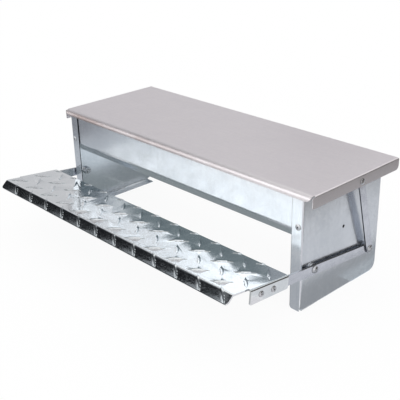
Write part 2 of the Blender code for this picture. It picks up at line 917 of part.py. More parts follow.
def build():
    clear_scene()
    galvanised = make_material("galvanised_sheet", (0.42, 0.44, 0.46), 0.85, 0.38)
    lid_steel = make_material("galvanised_lid_sheet", (0.50, 0.49, 0.49), 0.85, 0.45)
    tread = make_material("aluminium_tread_plate", (0.62, 0.63, 0.65), 1.0, 0.22)
    bar = make_material("zinc_plated_bar", (0.55, 0.55, 0.56), 0.95, 0.30)
    fastener = make_material("zinc_plated_fastener", (0.46, 0.46, 0.47), 1.0, 0.28)
    rivet_metal = make_material("aluminium_rivet", (0.58, 0.58, 0.60), 1.0, 0.30)
    hinge_steel = make_material("hinge_steel", (0.45, 0.46, 0.47), 0.95, 0.32)

    body_axis = make_axis("body_origin", 0, 0)
    lid_axis = make_axis("lid_axis", hinge_from_front, hinge_height)
    treadle_axis = make_axis("treadle_axis", pivot_from_front, pivot_height, -arm_rest_tilt)

    make_trough("trough", galvanised, body_axis)
    make_lid("lid", lid_steel, lid_axis)
    make_plate("treadle_plate", tread, treadle_axis)

    leaf_face = trough_back + gap
    leaf_holes = [
        (
            (place, leaf_face - hinge_from_front, -hinge_rivet_below_axis),
            backward,
            rivet_shank_radius + gap,
            2 * (leaf_thickness + cut_overrun),
        )
        for place in hinge_rivet_places()
    ]
    hinge_axis = make_axis("hinge_line", hinge_from_front, hinge_height)
    make_leaf(
        "hinge_body_leaf", hinge_steel, hinge_axis, 0, upward, backward,
        body_leaf_drop, leaf_holes,
    )
    make_leaf("hinge_lid_leaf", hinge_steel, lid_axis, 1, -backward, -upward, lid_leaf_depth)
    make_hinge_pin("hinge_pin", hinge_steel, hinge_axis)

    column_rivet = make_rivet_mesh("column_rivet", rivet_outline(
        rivet_shank_radius, rivet_head_radius, rivet_head_height, 2 * sheet + gap,
        rivet_tail_radius, rivet_tail_height,
    ), rivet_metal)
    hinge_rivet = make_rivet_mesh("hinge_rivet", rivet_outline(
        rivet_shank_radius, hinge_rivet_head_radius, rivet_head_height,
        sheet + gap + leaf_thickness, rivet_tail_radius, rivet_tail_height,
    ), rivet_metal)
    treadle_rivet = make_rivet_mesh("treadle_rivet", rivet_outline(
        rivet_shank_radius, rivet_head_radius, rivet_head_height,
        plate_thickness + gap + arm_thickness, rivet_tail_radius, rivet_tail_height,
    ), rivet_metal)
    link_rivet = make_rivet_mesh("link_rivet", rivet_outline(
        link_rivet_shank_radius, link_rivet_head_radius, link_rivet_head_height,
        link_thickness + gap + arm_thickness, link_rivet_tail_radius, link_rivet_tail_height,
    ), rivet_metal)
    lid_rivet = make_rivet_mesh("lid_rivet", rivet_outline(
        rivet_shank_radius, lid_rivet_head_radius, rivet_head_height, sheet + gap / 2, 0, 0
    ), rivet_metal)

    hinge_seat = trough_back + gap + leaf_thickness
    for number, place in enumerate(hinge_rivet_places(), start=1):
        seat = (place, hinge_seat, hinge_rivet_height)
        place_rivet(f"hinge_rivet_{number}", hinge_rivet, seat, backward, body_axis)

    for word, side in sides.items():
        make_cheek(word + "_cheek", side, galvanised, body_axis)
        make_arm(word + "_arm", side, bar, treadle_axis)
        link_axis = make_axis(word + "_link_axis", link_pin_from_front, link_pin_height, link_lean)
        make_link(word + "_link", side, bar, link_axis)
        make_pivot_set(word, side, fastener, body_axis)

        column = side * column_rivet_from_middle
        front_seat = (column, 0, column_rivet_height)
        rear_seat = (column, body_depth, column_rivet_height)
        place_rivet(word + "_front_column_rivet", column_rivet, front_seat, -backward, body_axis)
        place_rivet(word + "_rear_column_rivet", column_rivet, rear_seat, backward, body_axis)
        direction = across * side
        for number, (reach, height) in enumerate(treadle_rivet_places(), start=1):
            seat = (side * end_flange_outer, -reach, height)
            name = f"{word}_treadle_rivet_{number}"
            place_rivet(name, treadle_rivet, seat, direction, treadle_axis)
        link_seat = (side * link_lower_outer, arm_rear_reach, 0)
        place_rivet(word + "_link_rivet", link_rivet, link_seat, direction, treadle_axis)
        lid_seat = (
            side * lid_half_width,
            -lid_rivet_from_hinge,
            lid_rivet_height - hinge_height,
        )
        place_rivet(word + "_lid_rivet", lid_rivet, lid_seat, direction, lid_axis)


build()
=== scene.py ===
# Treadle chicken feeder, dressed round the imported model
import math
import bpy
import bmesh
from mathutils import Matrix, Vector


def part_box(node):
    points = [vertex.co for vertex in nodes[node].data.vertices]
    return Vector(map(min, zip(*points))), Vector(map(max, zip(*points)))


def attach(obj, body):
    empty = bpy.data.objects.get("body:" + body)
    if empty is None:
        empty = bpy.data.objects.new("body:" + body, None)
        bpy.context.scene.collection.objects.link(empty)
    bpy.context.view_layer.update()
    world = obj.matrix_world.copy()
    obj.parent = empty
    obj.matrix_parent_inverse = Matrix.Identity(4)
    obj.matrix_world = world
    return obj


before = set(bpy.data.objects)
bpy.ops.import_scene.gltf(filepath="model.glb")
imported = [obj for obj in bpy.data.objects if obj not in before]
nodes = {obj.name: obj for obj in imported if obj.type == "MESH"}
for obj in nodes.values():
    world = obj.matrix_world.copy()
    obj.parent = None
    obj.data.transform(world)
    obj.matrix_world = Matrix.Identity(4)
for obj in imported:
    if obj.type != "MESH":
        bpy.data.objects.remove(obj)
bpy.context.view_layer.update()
print("frame loaded", len(nodes))

# camera, where the photograph was taken from; metres, degrees, and millimetres of lens
photoView = {
    "place": (0.7753, -0.684344, 0.53802),
    "yaw": 47.223,
    "pitch": 24.155,
    "roll": -1.465,
    "lens": 70.28,
    "sensor": 36,
    "farthest": 20,
}


def aimCamera(settings):
    yaw = math.radians(settings["yaw"])
    pitch = math.radians(settings["pitch"])
    roll = math.radians(settings["roll"])
    ahead = Vector((-math.sin(yaw) * math.cos(pitch), math.cos(yaw) * math.cos(pitch),
                    -math.sin(pitch)))
    level = Vector((math.cos(yaw), math.sin(yaw), 0))
    upright = level.cross(ahead)
    right = level * math.cos(roll) + upright * math.sin(roll)
    top = upright * math.cos(roll) - level * math.sin(roll)
    turn = Matrix((right, top, -ahead)).transposed()
    camera = bpy.data.objects.new("camera", bpy.data.cameras.new("camera"))
    camera.data.lens = settings["lens"]
    camera.data.sensor_width = settings["sensor"]
    camera.data.sensor_fit = "HORIZONTAL"
    camera.data.clip_end = settings["farthest"]
    camera.matrix_world = Matrix.Translation(settings["place"]) @ turn.to_4x4()
    bpy.context.scene.collection.objects.link(camera)
    bpy.context.scene.camera = camera


aimCamera(photoView)
bpy.context.scene.view_settings.view_transform = "Standard"
print("camera set")


# colours are written as sRGB hex and turned linear here, by the sRGB curve's own numbers
def linear(hexColour):
    parts = [int(hexColour[i:i + 2], 16) / 255 for i in (1, 3, 5)]
    return [p / 12.92 if p <= 0.04045 else ((p + 0.055) / 1.055) ** 2.4 for p in parts] + [1]


# one node: a setting goes to the input of that name or number, or else to the node itself,
# and a link goes to the input of that name or number
def addNode(tree, kind, settings=None, links=None):
    node = tree.nodes.new(kind)
    for key, value in (settings or {}).items():
        if isinstance(key, int) or key in node.inputs.keys():
            node.inputs[key].default_value = value
        else:
            setattr(node, key, value)
    for key, source in (links or {}).items():
        tree.links.new(source, node.inputs[key])
    return node


def newMaterial(name):
    material = bpy.data.materials.new(name)
    material.use_nodes = True
    tree = material.node_tree
    tree.nodes.clear()
    return material, tree


def finishSurface(tree, shader):
    output = addNode(tree, "ShaderNodeOutputMaterial")
    tree.links.new(shader.outputs[0], output.inputs["Surface"])


# the bends, curls and lugs are shaded round, and cut edges get a fine broken edge
edgeFinish = {
    "weld": 0.00002,
    "roundBelow": 52,      # degrees between faces that are shaded as one
    "edgeWidth": 0.00016,
    "edgeSteps": 2,
    "edgeRound": 0.5,
    "flatWeight": 100,     # how much the wide flat faces pull the shading
}


def roundingNodes(settings):
    group = bpy.data.node_groups.new("roundedShading", "GeometryNodeTree")
    for way in ("INPUT", "OUTPUT"):
        group.interface.new_socket("Geometry", in_out=way, socket_type="NodeSocketGeometry")
    start = addNode(group, "NodeGroupInput")
    plain = addNode(group, "GeometryNodeRemoveAttribute", {"Name": "custom_normal"},
                    {"Geometry": start.outputs[0]})
    merged = addNode(group, "GeometryNodeMergeByDistance", {"Distance": settings["weld"]},
                     {"Geometry": plain.outputs[0]})
    smooth = addNode(group, "GeometryNodeSetShadeSmooth", {
        "domain": "FACE", "Shade Smooth": True}, {"Geometry": merged.outputs[0]})
    angle = addNode(group, "GeometryNodeInputMeshEdgeAngle")
    sharp = addNode(group, "ShaderNodeMath", {
        "operation": "GREATER_THAN", 1: math.radians(settings["roundBelow"])},
        {0: angle.outputs["Unsigned Angle"]})
    split = addNode(group, "GeometryNodeSetShadeSmooth", {
        "domain": "EDGE", "Shade Smooth": False},
        {"Geometry": smooth.outputs[0], "Selection": sharp.outputs[0]})
    end = addNode(group, "NodeGroupOutput")
    group.links.new(split.outputs[0], end.inputs[0])
    return group


def softenEdges(settings):
    group = roundingNodes(settings)
    for node in nodes.values():
        rounding = node.modifiers.new("rounding", "NODES")
        rounding.node_group = group
        edge = node.modifiers.new("brokenEdge", "BEVEL")
        edge.width = settings["edgeWidth"]
        edge.segments = settings["edgeSteps"]
        edge.profile = settings["edgeRound"]
        edge.limit_method = "ANGLE"
        edge.angle_limit = math.radians(settings["roundBelow"])
        edge.harden_normals = False
        weighted = node.modifiers.new("flatStaysFlat", "WEIGHTED_NORMAL")
        weighted.keep_sharp = True
        weighted.weight = settings["flatWeight"]


softenEdges(edgeFinish)
print("edges softened")


# handling rubs every edge bright: the worn colour shows where the normal that is rounded over
# wornRadius leaves the flat one, from nothing at first and fully at last
rubbing = {"samples": 4, "first": 0.99}


def rubEdges(tree, skin, settings):
    rounded = addNode(tree, "ShaderNodeBevel", {
        "samples": rubbing["samples"], "Radius": settings["wornRadius"]})
    flat = addNode(tree, "ShaderNodeNewGeometry")
    bent = addNode(tree, "ShaderNodeVectorMath", {"operation": "DOT_PRODUCT"},
                   {0: rounded.outputs[0], 1: flat.outputs["Normal"]})
    worn = addNode(tree, "ShaderNodeMapRange", {
        "From Min": rubbing["first"], "From Max": settings["wornLast"],
        "To Max": settings["wornShare"]}, {0: bent.outputs["Value"]})
    return addNode(tree, "ShaderNodeMix", {
        "data_type": "RGBA", 7: linear(settings["wornColour"])},
        {0: worn.outputs[0], 6: skin.outputs[2]})


# hot-dip galvanised steel sheet: zinc gives a pale blue-grey skin with soft grains, faint rolling
# streaks and clouds, and the cut and folded edges are rubbed brighter
brightSheet = {
    "colour": "#eceff3", "cloudColour": "#d9dee4", "cloudSize": 0.050,
    "rolledAxis": 2, "streakWidth": 0.0035, "streakLength": 0.16,
    "streakFrom": 0.45, "streakTo": 0.70, "streakShare": 0.30,
    "grainColour": "#f1f3f5", "grainShare": 0.35, "grainHeight": 0.0000006,
    "grainSize": 0.0032,       # real zinc grains are near 1 mm, drawn coarser so that they show
    "waveSize": 0.050, "waveHeight": 0.00004,
    "roughness": (0.19, 0.27), "roughFrom": 0.3, "roughTo": 0.95, "roughGrain": 0.35,
    "wornColour": "#fbfbfa", "wornRadius": 0.0007, "wornLast": 0.80, "wornShare": 0.4,
}
# the trough adds painted shade, which darkens the faces of its inside more towards the bottom
troughSheet = dict(
    brightSheet, insideShadeColour="#a3a19d", shadeFront=-0.0196, shadeBack=0.1374, shadeSide=0.2378,
    shadeTop=0.165, shadeBottom=0.085, shadeShare=0.75, shadeUnder=-0.2)
# the cheeks add painted shade, near black, on the inner edges of their columns where they meet the
# trough
cheekSheet = dict(brightSheet, edgeShadeColour="#2b2d31", seamShadeWithin=0.2230)
# the same sheet left dull by weather and handling: the lid scatters more and looks warmer,
# and its rolled lip carries patches of painted shade, less towards the right
dullSheet = dict(
    brightSheet, colour="#e9e4e6", cloudColour="#dedadd", cloudSize=0.070,
    rolledAxis=0, streakWidth=0.0030, streakLength=0.22, streakShare=0.25,
    grainColour="#efebeb", grainShare=0.22, grainHeight=0.000001, grainSize=0.0034,
    waveSize=0.060, roughness=(0.33, 0.42), wornColour="#948b89", wornRadius=0.0009,
    lipShadeColour="#a3938f", lipFrom=-0.0193, lipTo=-0.0222,
    lipLeft=-0.26, lipLeftShare=0.95, lipRight=0.16, lipRightShare=0.15,
    lipPatch=0.030, patchFrom=0.30, patchTo=0.55, patchLeast=0.55)


# painted shade: the cheek's faces nearer the middle than a set distance, the columns' inner edges,
# are painted near black
def paintSeamShade(tree, skin, settings, sides):
    across = addNode(tree, "ShaderNodeMath", {"operation": "ABSOLUTE"}, {0: sides.outputs["X"]})
    seamShade = addNode(tree, "ShaderNodeMath", {"operation": "LESS_THAN", 1: settings["seamShadeWithin"]},
                  {0: across.outputs[0]})
    return addNode(tree, "ShaderNodeMix", {
        "data_type": "RGBA", 7: linear(settings["edgeShadeColour"])},
        {0: seamShade.outputs[0], 6: skin.outputs[2]})


# painted shade: inside the trough the faces are darkened more towards the bottom, except faces
# looking down
def shadeInside(tree, skin, settings, sides):
    across = addNode(tree, "ShaderNodeMath", {"operation": "ABSOLUTE"}, {0: sides.outputs["X"]})
    flat = addNode(tree, "ShaderNodeNewGeometry")
    outward = addNode(tree, "ShaderNodeSeparateXYZ", {}, {0: flat.outputs["True Normal"]})
    insideShade = addNode(tree, "ShaderNodeMapRange", {
        "From Min": settings["shadeTop"], "From Max": settings["shadeBottom"],
        "To Max": settings["shadeShare"]}, {0: sides.outputs["Z"]})
    for operation, limit, source in (
            ("LESS_THAN", "shadeSide", across.outputs[0]),
            ("GREATER_THAN", "shadeFront", sides.outputs["Y"]),
            ("LESS_THAN", "shadeBack", sides.outputs["Y"]),
            ("GREATER_THAN", "shadeUnder", outward.outputs["Z"])):
        within = addNode(tree, "ShaderNodeMath", {"operation": operation, 1: settings[limit]},
                         {0: source})
        insideShade = addNode(tree, "ShaderNodeMath", {"operation": "MULTIPLY"},
                        {0: insideShade.outputs[0], 1: within.outputs[0]})
    return addNode(tree, "ShaderNodeMix", {
        "data_type": "RGBA", 7: linear(settings["insideShadeColour"])},
        {0: insideShade.outputs[0], 6: skin.outputs[2]})


# painted shade: the lid's lip is darkened in patches, most at the left
def shadeLip(tree, skin, settings, sides, spot):
    onLip = addNode(tree, "ShaderNodeMapRange", {
        "From Min": settings["lipFrom"], "From Max": settings["lipTo"]},
        {0: sides.outputs["Y"]})
    fade = addNode(tree, "ShaderNodeMapRange", {
        "From Min": settings["lipLeft"], "From Max": settings["lipRight"],
        "To Min": settings["lipLeftShare"], "To Max": settings["lipRightShare"]},
        {0: sides.outputs["X"]})
    patches = addNode(tree, "ShaderNodeTexNoise", {
        "Scale": 1 / settings["lipPatch"], "Detail": 3.0}, {"Vector": spot})
    patchMask = addNode(tree, "ShaderNodeMapRange", {
        "From Min": settings["patchFrom"], "From Max": settings["patchTo"],
        "To Min": settings["patchLeast"]}, {0: patches.outputs[0]})
    lipShade = addNode(tree, "ShaderNodeMath", {"operation": "MULTIPLY"},
                    {0: onLip.outputs[0], 1: fade.outputs[0]})
    patchyLipShade = addNode(tree, "ShaderNodeMath", {"operation": "MULTIPLY"},
                      {0: lipShade.outputs[0], 1: patchMask.outputs[0]})
    return addNode(tree, "ShaderNodeMix", {
        "data_type": "RGBA", 7: linear(settings["lipShadeColour"])},
        {0: patchyLipShade.outputs[0], 6: skin.outputs[2]})


def galvanisedSheet(name, settings):
    material, tree = newMaterial(name)
    place = addNode(tree, "ShaderNodeTexCoord")
    spot = place.outputs["Object"]
    sides = addNode(tree, "ShaderNodeSeparateXYZ", {}, {0: spot})
    clouds = addNode(tree, "ShaderNodeTexNoise", {
        "Scale": 1 / settings["cloudSize"], "Detail": 3.0, "Roughness": 0.55,
        "Distortion": 0.3}, {"Vector": spot})
    stretch = [1 / settings["streakWidth"]] * 3
    stretch[settings["rolledAxis"]] = 1 / settings["streakLength"]
    rolled = addNode(tree, "ShaderNodeMapping", {"Scale": stretch}, {"Vector": spot})
    streaks = addNode(tree, "ShaderNodeTexNoise", {
        "Scale": 1.0, "Detail": 2.0, "Roughness": 0.6}, {"Vector": rolled.outputs[0]})
    grains = addNode(tree, "ShaderNodeTexVoronoi", {
        "feature": "F1", "Scale": 1 / settings["grainSize"]}, {"Vector": spot})
    grainTone = addNode(tree, "ShaderNodeSeparateColor", {}, {0: grains.outputs["Color"]})

    # colour: clouds, grains and streaks, then the wear on edges, and the painted shade on the
    # columns' inner edges, inside the trough and on the lid's lip
    skin = addNode(tree, "ShaderNodeMix", {
        "data_type": "RGBA", 6: linear(settings["colour"]), 7: linear(settings["cloudColour"])},
        {0: clouds.outputs[0]})
    grainMask = addNode(tree, "ShaderNodeMath", {
        "operation": "MULTIPLY", 1: settings["grainShare"]}, {0: grainTone.outputs[0]})
    skin = addNode(tree, "ShaderNodeMix", {
        "data_type": "RGBA", 7: linear(settings["grainColour"])},
        {0: grainMask.outputs[0], 6: skin.outputs[2]})
    streakMask = addNode(tree, "ShaderNodeMapRange", {
        "From Min": settings["streakFrom"], "From Max": settings["streakTo"],
        "To Max": settings["streakShare"]}, {0: streaks.outputs[0]})
    skin = addNode(tree, "ShaderNodeMix", {
        "data_type": "RGBA", 7: linear(settings["cloudColour"])},
        {0: streakMask.outputs[0], 6: skin.outputs[2]})
    skin = rubEdges(tree, skin, settings)
    # painted shade on the columns' inner edges
    if "edgeShadeColour" in settings:
        skin = paintSeamShade(tree, skin, settings, sides)
    # painted shade inside the trough
    if "insideShadeColour" in settings:
        skin = shadeInside(tree, skin, settings, sides)
    # painted shade on the lid's lip
    if "lipShadeColour" in settings:
        skin = shadeLip(tree, skin, settings, sides, spot)

    # gloss and relief: grains differ in gloss, and the sheet is never quite flat
    gloss = addNode(tree, "ShaderNodeMath", {
        "operation": "MULTIPLY_ADD", 1: settings["roughGrain"]},
        {0: grainTone.outputs[1], 2: clouds.outputs[0]})
    smoothest, roughest = settings["roughness"]
    roughness = addNode(tree, "ShaderNodeMapRange", {
        "From Min": settings["roughFrom"], "From Max": settings["roughTo"],
        "To Min": smoothest, "To Max": roughest}, {0: gloss.outputs[0]})
    waves = addNode(tree, "ShaderNodeTexNoise", {
        "Scale": 1 / settings["waveSize"], "Detail": 1.0}, {"Vector": spot})
    sheetWave = addNode(tree, "ShaderNodeBump", {
        "Strength": 1.0, "Distance": settings["waveHeight"]}, {"Height": waves.outputs[0]})
    relief = addNode(tree, "ShaderNodeMath", {"operation": "ADD"},
                     {0: streaks.outputs[0], 1: grains.outputs["Distance"]})
    grainBump = addNode(tree, "ShaderNodeBump", {
        "Strength": 1.0, "Distance": settings["grainHeight"]},
        {"Height": relief.outputs[0], "Normal": sheetWave.outputs[0]})
    shader = addNode(tree, "ShaderNodeBsdfPrincipled", {"Metallic": 1.0}, {
        "Base Color": skin.outputs[2], "Roughness": roughness.outputs[0],
        "Normal": grainBump.outputs[0]})
    finishSurface(tree, shader)
    return material


# mill-finish aluminium tread plate: bright, with the fine mottle that the rolls leave in the metal
# and a thin grey film of handling between the lugs
treadFinish = {
    "colour": "#f3f6f7",
    "filmColour": "#cdd7db", "filmSize": 0.018, "filmFrom": 0.22, "filmTo": 0.42,
    "filmShare": 0.28,
    "mottleSize": 0.0026, "mottleHeight": 0.000070,    # drawn coarser than the rolls leave it
    "pitSize": 0.0011, "pitHeight": 0.000008,
    "roughness": (0.08, 0.18), "roughFrom": 0.18, "roughTo": 0.42,
    "wornColour": "#ffffff", "wornRadius": 0.0006, "wornLast": 0.85, "wornShare": 0.8,
    # the normals are the plate's own, where it lies at rest; the limits are their cosines
    "plateNormal": (0.0, -0.1115, 0.9938), "slopeShadeColour": "#b0b8bd",
    "slopeFrom": 0.990, "slopeTo": 0.950, "upwardFrom": 0.15, "upwardTo": 0.55,
    "speckleFrom": 0.25, "speckleTo": 0.75, "speckleLeast": 0.35, "levelRelief": 0.3,
    "flangeNormal": (0.0, -0.803, 0.596), "flangeLugShadeColour": "#33373c",
    "nearFrom": 0.80, "nearTo": 0.90, "offFrom": 0.997, "offTo": 0.985, "flangeLugShadeShare": 0.85,
}


def treadPlateMetal(name, settings):
    material, tree = newMaterial(name)
    place = addNode(tree, "ShaderNodeTexCoord")
    spot = place.outputs["Object"]
    mottle = addNode(tree, "ShaderNodeTexNoise", {
        "Scale": 1 / settings["mottleSize"], "Detail": 2.0, "Roughness": 0.6,
        "Distortion": 0.6}, {"Vector": spot})
    pits = addNode(tree, "ShaderNodeTexVoronoi", {
        "feature": "SMOOTH_F1", "Scale": 1 / settings["pitSize"]}, {"Vector": spot})
    film = addNode(tree, "ShaderNodeTexNoise", {
        "Scale": 1 / settings["filmSize"], "Detail": 4.0, "Roughness": 0.65},
        {"Vector": spot})
    blotches = addNode(tree, "ShaderNodeMath", {"operation": "MULTIPLY"},
                       {0: film.outputs[0], 1: mottle.outputs[0]})
    filmMask = addNode(tree, "ShaderNodeMapRange", {
        "From Min": settings["filmFrom"], "From Max": settings["filmTo"],
        "To Max": settings["filmShare"]}, {0: blotches.outputs[0]})
    skin = addNode(tree, "ShaderNodeMix", {
        "data_type": "RGBA", 6: linear(settings["colour"]), 7: linear(settings["filmColour"])},
        {0: filmMask.outputs[0]})
    skin = rubEdges(tree, skin, settings)

    # painted shade keeps the lugs' slopes and the tilted front flange greyer than the top, in a
    # speckle after the mottle, and gives them more relief
    facing = addNode(tree, "ShaderNodeVectorMath", {
        "operation": "DOT_PRODUCT", 1: settings["plateNormal"]}, {0: place.outputs["Normal"]})
    tilted = addNode(tree, "ShaderNodeMapRange", {
        "From Min": settings["slopeFrom"], "From Max": settings["slopeTo"]},
        {0: facing.outputs["Value"]})
    upward = addNode(tree, "ShaderNodeMapRange", {
        "From Min": settings["upwardFrom"], "From Max": settings["upwardTo"]},
        {0: facing.outputs["Value"]})
    slope = addNode(tree, "ShaderNodeMath", {"operation": "MULTIPLY"},
                    {0: tilted.outputs[0], 1: upward.outputs[0]})
    speckle = addNode(tree, "ShaderNodeMapRange", {
        "From Min": settings["speckleFrom"], "From Max": settings["speckleTo"],
        "To Min": 1.0, "To Max": settings["speckleLeast"]}, {0: mottle.outputs[0]})
    slopeShade = addNode(tree, "ShaderNodeMath", {"operation": "MULTIPLY"},
                    {0: slope.outputs[0], 1: speckle.outputs[0]})
    skin = addNode(tree, "ShaderNodeMix", {
        "data_type": "RGBA", 7: linear(settings["slopeShadeColour"])},
        {0: slopeShade.outputs[0], 6: skin.outputs[2]})

    # painted shade: where the lugs run out over the front flange their slopes are painted dark, so
    # that only their crests stay bright
    toFlange = addNode(tree, "ShaderNodeVectorMath", {
        "operation": "DOT_PRODUCT", 1: settings["flangeNormal"]}, {0: place.outputs["Normal"]})
    nearFlange = addNode(tree, "ShaderNodeMapRange", {
        "From Min": settings["nearFrom"], "From Max": settings["nearTo"]},
        {0: toFlange.outputs["Value"]})
    offFlange = addNode(tree, "ShaderNodeMapRange", {
        "From Min": settings["offFrom"], "From Max": settings["offTo"],
        "To Max": settings["flangeLugShadeShare"]}, {0: toFlange.outputs["Value"]})
    flangeLugShade = addNode(tree, "ShaderNodeMath", {"operation": "MULTIPLY"},
                        {0: nearFlange.outputs[0], 1: offFlange.outputs[0]})
    skin = addNode(tree, "ShaderNodeMix", {
        "data_type": "RGBA", 7: linear(settings["flangeLugShadeColour"])},
        {0: flangeLugShade.outputs[0], 6: skin.outputs[2]})

    smoothest, roughest = settings["roughness"]
    roughness = addNode(tree, "ShaderNodeMapRange", {
        "From Min": settings["roughFrom"], "From Max": settings["roughTo"],
        "To Min": smoothest, "To Max": roughest}, {0: blotches.outputs[0]})
    relief = addNode(tree, "ShaderNodeMapRange", {"To Min": settings["levelRelief"]},
                     {0: slope.outputs[0]})
    rollBump = addNode(tree, "ShaderNodeBump", {"Distance": settings["mottleHeight"]},
                       {"Height": mottle.outputs[0], "Strength": relief.outputs[0]})
    pitBump = addNode(tree, "ShaderNodeBump", {
        "Strength": 1.0, "Distance": settings["pitHeight"]},
        {"Height": pits.outputs["Distance"], "Normal": rollBump.outputs[0]})
    shader = addNode(tree, "ShaderNodeBsdfPrincipled", {"Metallic": 1.0}, {
        "Base Color": skin.outputs[2], "Roughness": roughness.outputs[0],
        "Normal": pitBump.outputs[0]})
    finishSurface(tree, shader)
    return material


# bright zinc-plated flat bar, drawn and sheared: a pale satin with faint lines along the bar,
# and painted shade that keeps its edges dark
barPlating = {
    "colour": "#e6e8ee", "dullColour": "#cfd2da", "cloudSize": 0.016,
    "lineAxis": 1, "lineWidth": 0.0009, "lineLength": 0.030, "lineHeight": 0.000001,
    "lineShare": 0.45, "dullFrom": 0.45, "roughness": (0.20, 0.30),
    "wornColour": "#fafafa", "wornRadius": 0.0005, "wornLast": 0.80, "wornShare": 0.8,
    "edgeShadeColour": "#55585e", "edgeShadeFrom": 0.75, "edgeShadeTo": 0.35,
}
# the arms are the same bar, with lighter painted shade on their edges
armPlating = dict(barPlating, edgeShadeColour="#9a9da3")
# blind rivets of plain headed aluminium: small soft domes, each with its own bright spot
rivetSkin = {
    "colour": "#dcdddf", "dullColour": "#b9bbbf", "cloudSize": 0.004,
    "lineAxis": 2, "lineWidth": 0.0007, "lineLength": 0.0025, "lineHeight": 0.000002,
    "lineShare": 0.45, "dullFrom": 0.45, "roughness": (0.18, 0.30),
    "wornColour": "#f4f4f4", "wornRadius": 0.0004, "wornLast": 0.80, "wornShare": 0.8,
}
# zinc-plated turned bolts, washers and nuts: a shade greyer than the rivets beside them
boltPlating = dict(
    rivetSkin, colour="#d5d7da", dullColour="#aeb1b6", cloudSize=0.005,
    lineAxis=0, lineWidth=0.0008, lineLength=0.0040, roughness=(0.20, 0.32),
    wornColour="#f2f2f2", wornRadius=0.0005)
# zinc-plated rolled hinge strip: duller than the sheet, with long lines from the rolls
hingeStrip = dict(
    rivetSkin, colour="#cfd2d6", dullColour="#b2b6bb", cloudSize=0.012,
    lineAxis=0, lineWidth=0.0010, lineLength=0.060, roughness=(0.26, 0.38),
    wornColour="#eeeeee", wornRadius=0.0005)
# snapped steel mandrels, rough and bare: a dark dot low in each rivet's head
mandrelSteel = dict(
    rivetSkin, colour="#4a4b4e", dullColour="#2c2d2f", cloudSize=0.0015,
    lineAxis=0, lineWidth=0.0005, lineLength=0.0010, lineHeight=0.00002,
    roughness=(0.40, 0.60), wornColour="#6e6f72", wornRadius=0.0002)
# the mandrels of the links' rivets have rusted, which makes their dots brown
rustedSteel = dict(mandrelSteel, colour="#7c5646", dullColour="#4a3228", wornColour="#94705e")
# painted shade for the inside of a small hole: next to black and without a shine
holeShadePaint = dict(mandrelSteel, colour="#1c1c1e", dullColour="#101012", wornColour="#2a2a2c",
                   roughness=(0.6, 0.8))


def platedMetal(name, settings):
    material, tree = newMaterial(name)
    place = addNode(tree, "ShaderNodeTexCoord")
    spot = place.outputs["Object"]
    stretch = [1 / settings["lineWidth"]] * 3
    stretch[settings["lineAxis"]] = 1 / settings["lineLength"]
    drawn = addNode(tree, "ShaderNodeMapping", {"Scale": stretch}, {"Vector": spot})
    lines = addNode(tree, "ShaderNodeTexNoise", {"Scale": 1.0, "Detail": 2.0},
                    {"Vector": drawn.outputs[0]})
    clouds = addNode(tree, "ShaderNodeTexNoise", {
        "Scale": 1 / settings["cloudSize"], "Detail": 3.0, "Roughness": 0.6}, {"Vector": spot})
    tone = addNode(tree, "ShaderNodeMath", {
        "operation": "MULTIPLY_ADD", 1: settings["lineShare"]},
        {0: lines.outputs[0], 2: clouds.outputs[0]})
    dull = addNode(tree, "ShaderNodeMapRange", {"From Min": settings["dullFrom"]},
                   {0: tone.outputs[0]})
    skin = addNode(tree, "ShaderNodeMix", {
        "data_type": "RGBA", 6: linear(settings["colour"]), 7: linear(settings["dullColour"])},
        {0: dull.outputs[0]})
    skin = rubEdges(tree, skin, settings)
    # painted shade: faces that do not face sideways, the bar's edges, are darkened
    if "edgeShadeColour" in settings:
        flat = addNode(tree, "ShaderNodeNewGeometry")
        outward = addNode(tree, "ShaderNodeSeparateXYZ", {}, {0: flat.outputs["True Normal"]})
        sideways = addNode(tree, "ShaderNodeMath", {"operation": "ABSOLUTE"},
                           {0: outward.outputs["X"]})
        edgeShade = addNode(tree, "ShaderNodeMapRange", {
            "From Min": settings["edgeShadeFrom"], "From Max": settings["edgeShadeTo"]},
            {0: sideways.outputs[0]})
        skin = addNode(tree, "ShaderNodeMix", {
            "data_type": "RGBA", 7: linear(settings["edgeShadeColour"])},
            {0: edgeShade.outputs[0], 6: skin.outputs[2]})
    smoothest, roughest = settings["roughness"]
    roughness = addNode(tree, "ShaderNodeMapRange", {"To Min": smoothest, "To Max": roughest},
                        {0: dull.outputs[0]})
    lineBump = addNode(tree, "ShaderNodeBump", {
        "Strength": 1.0, "Distance": settings["lineHeight"]}, {"Height": lines.outputs[0]})
    shader = addNode(tree, "ShaderNodeBsdfPrincipled", {"Metallic": 1.0}, {
        "Base Color": skin.outputs[2], "Roughness": roughness.outputs[0],
        "Normal": lineBump.outputs[0]})
    finishSurface(tree, shader)
    return material


mandrelEnd = platedMetal("brokenMandrelSteel", mandrelSteel)
rustedEnd = platedMetal("rustedMandrelSteel", rustedSteel)
holeShade = platedMetal("paintedHoleShade", holeShadePaint)
# each node takes the first finish whose word is in its name
finishes = (
    ("rivet", platedMetal("blindRivetAluminium", rivetSkin)),
    ("pivot", platedMetal("zincPlatedBolt", boltPlating)),
    ("hinge", platedMetal("hingeStripSteel", hingeStrip)),
    ("arm", platedMetal("zincPlatedArm", armPlating)),
    ("link", platedMetal("zincPlatedLink", barPlating)),
    ("trough", galvanisedSheet("galvanisedTroughSheet", troughSheet)),
    ("cheek", galvanisedSheet("galvanisedCheekSheet", cheekSheet)),
    ("lid", galvanisedSheet("dullGalvanisedSheet", dullSheet)),
    ("treadle_plate", treadPlateMetal("rolledTreadPlate", treadFinish)),
)
for name, node in nodes.items():
    finish = next(material for word, material in finishes if word in name)
    node.data.materials.clear()
    node.data.materials.append(finish)
print("materials set")


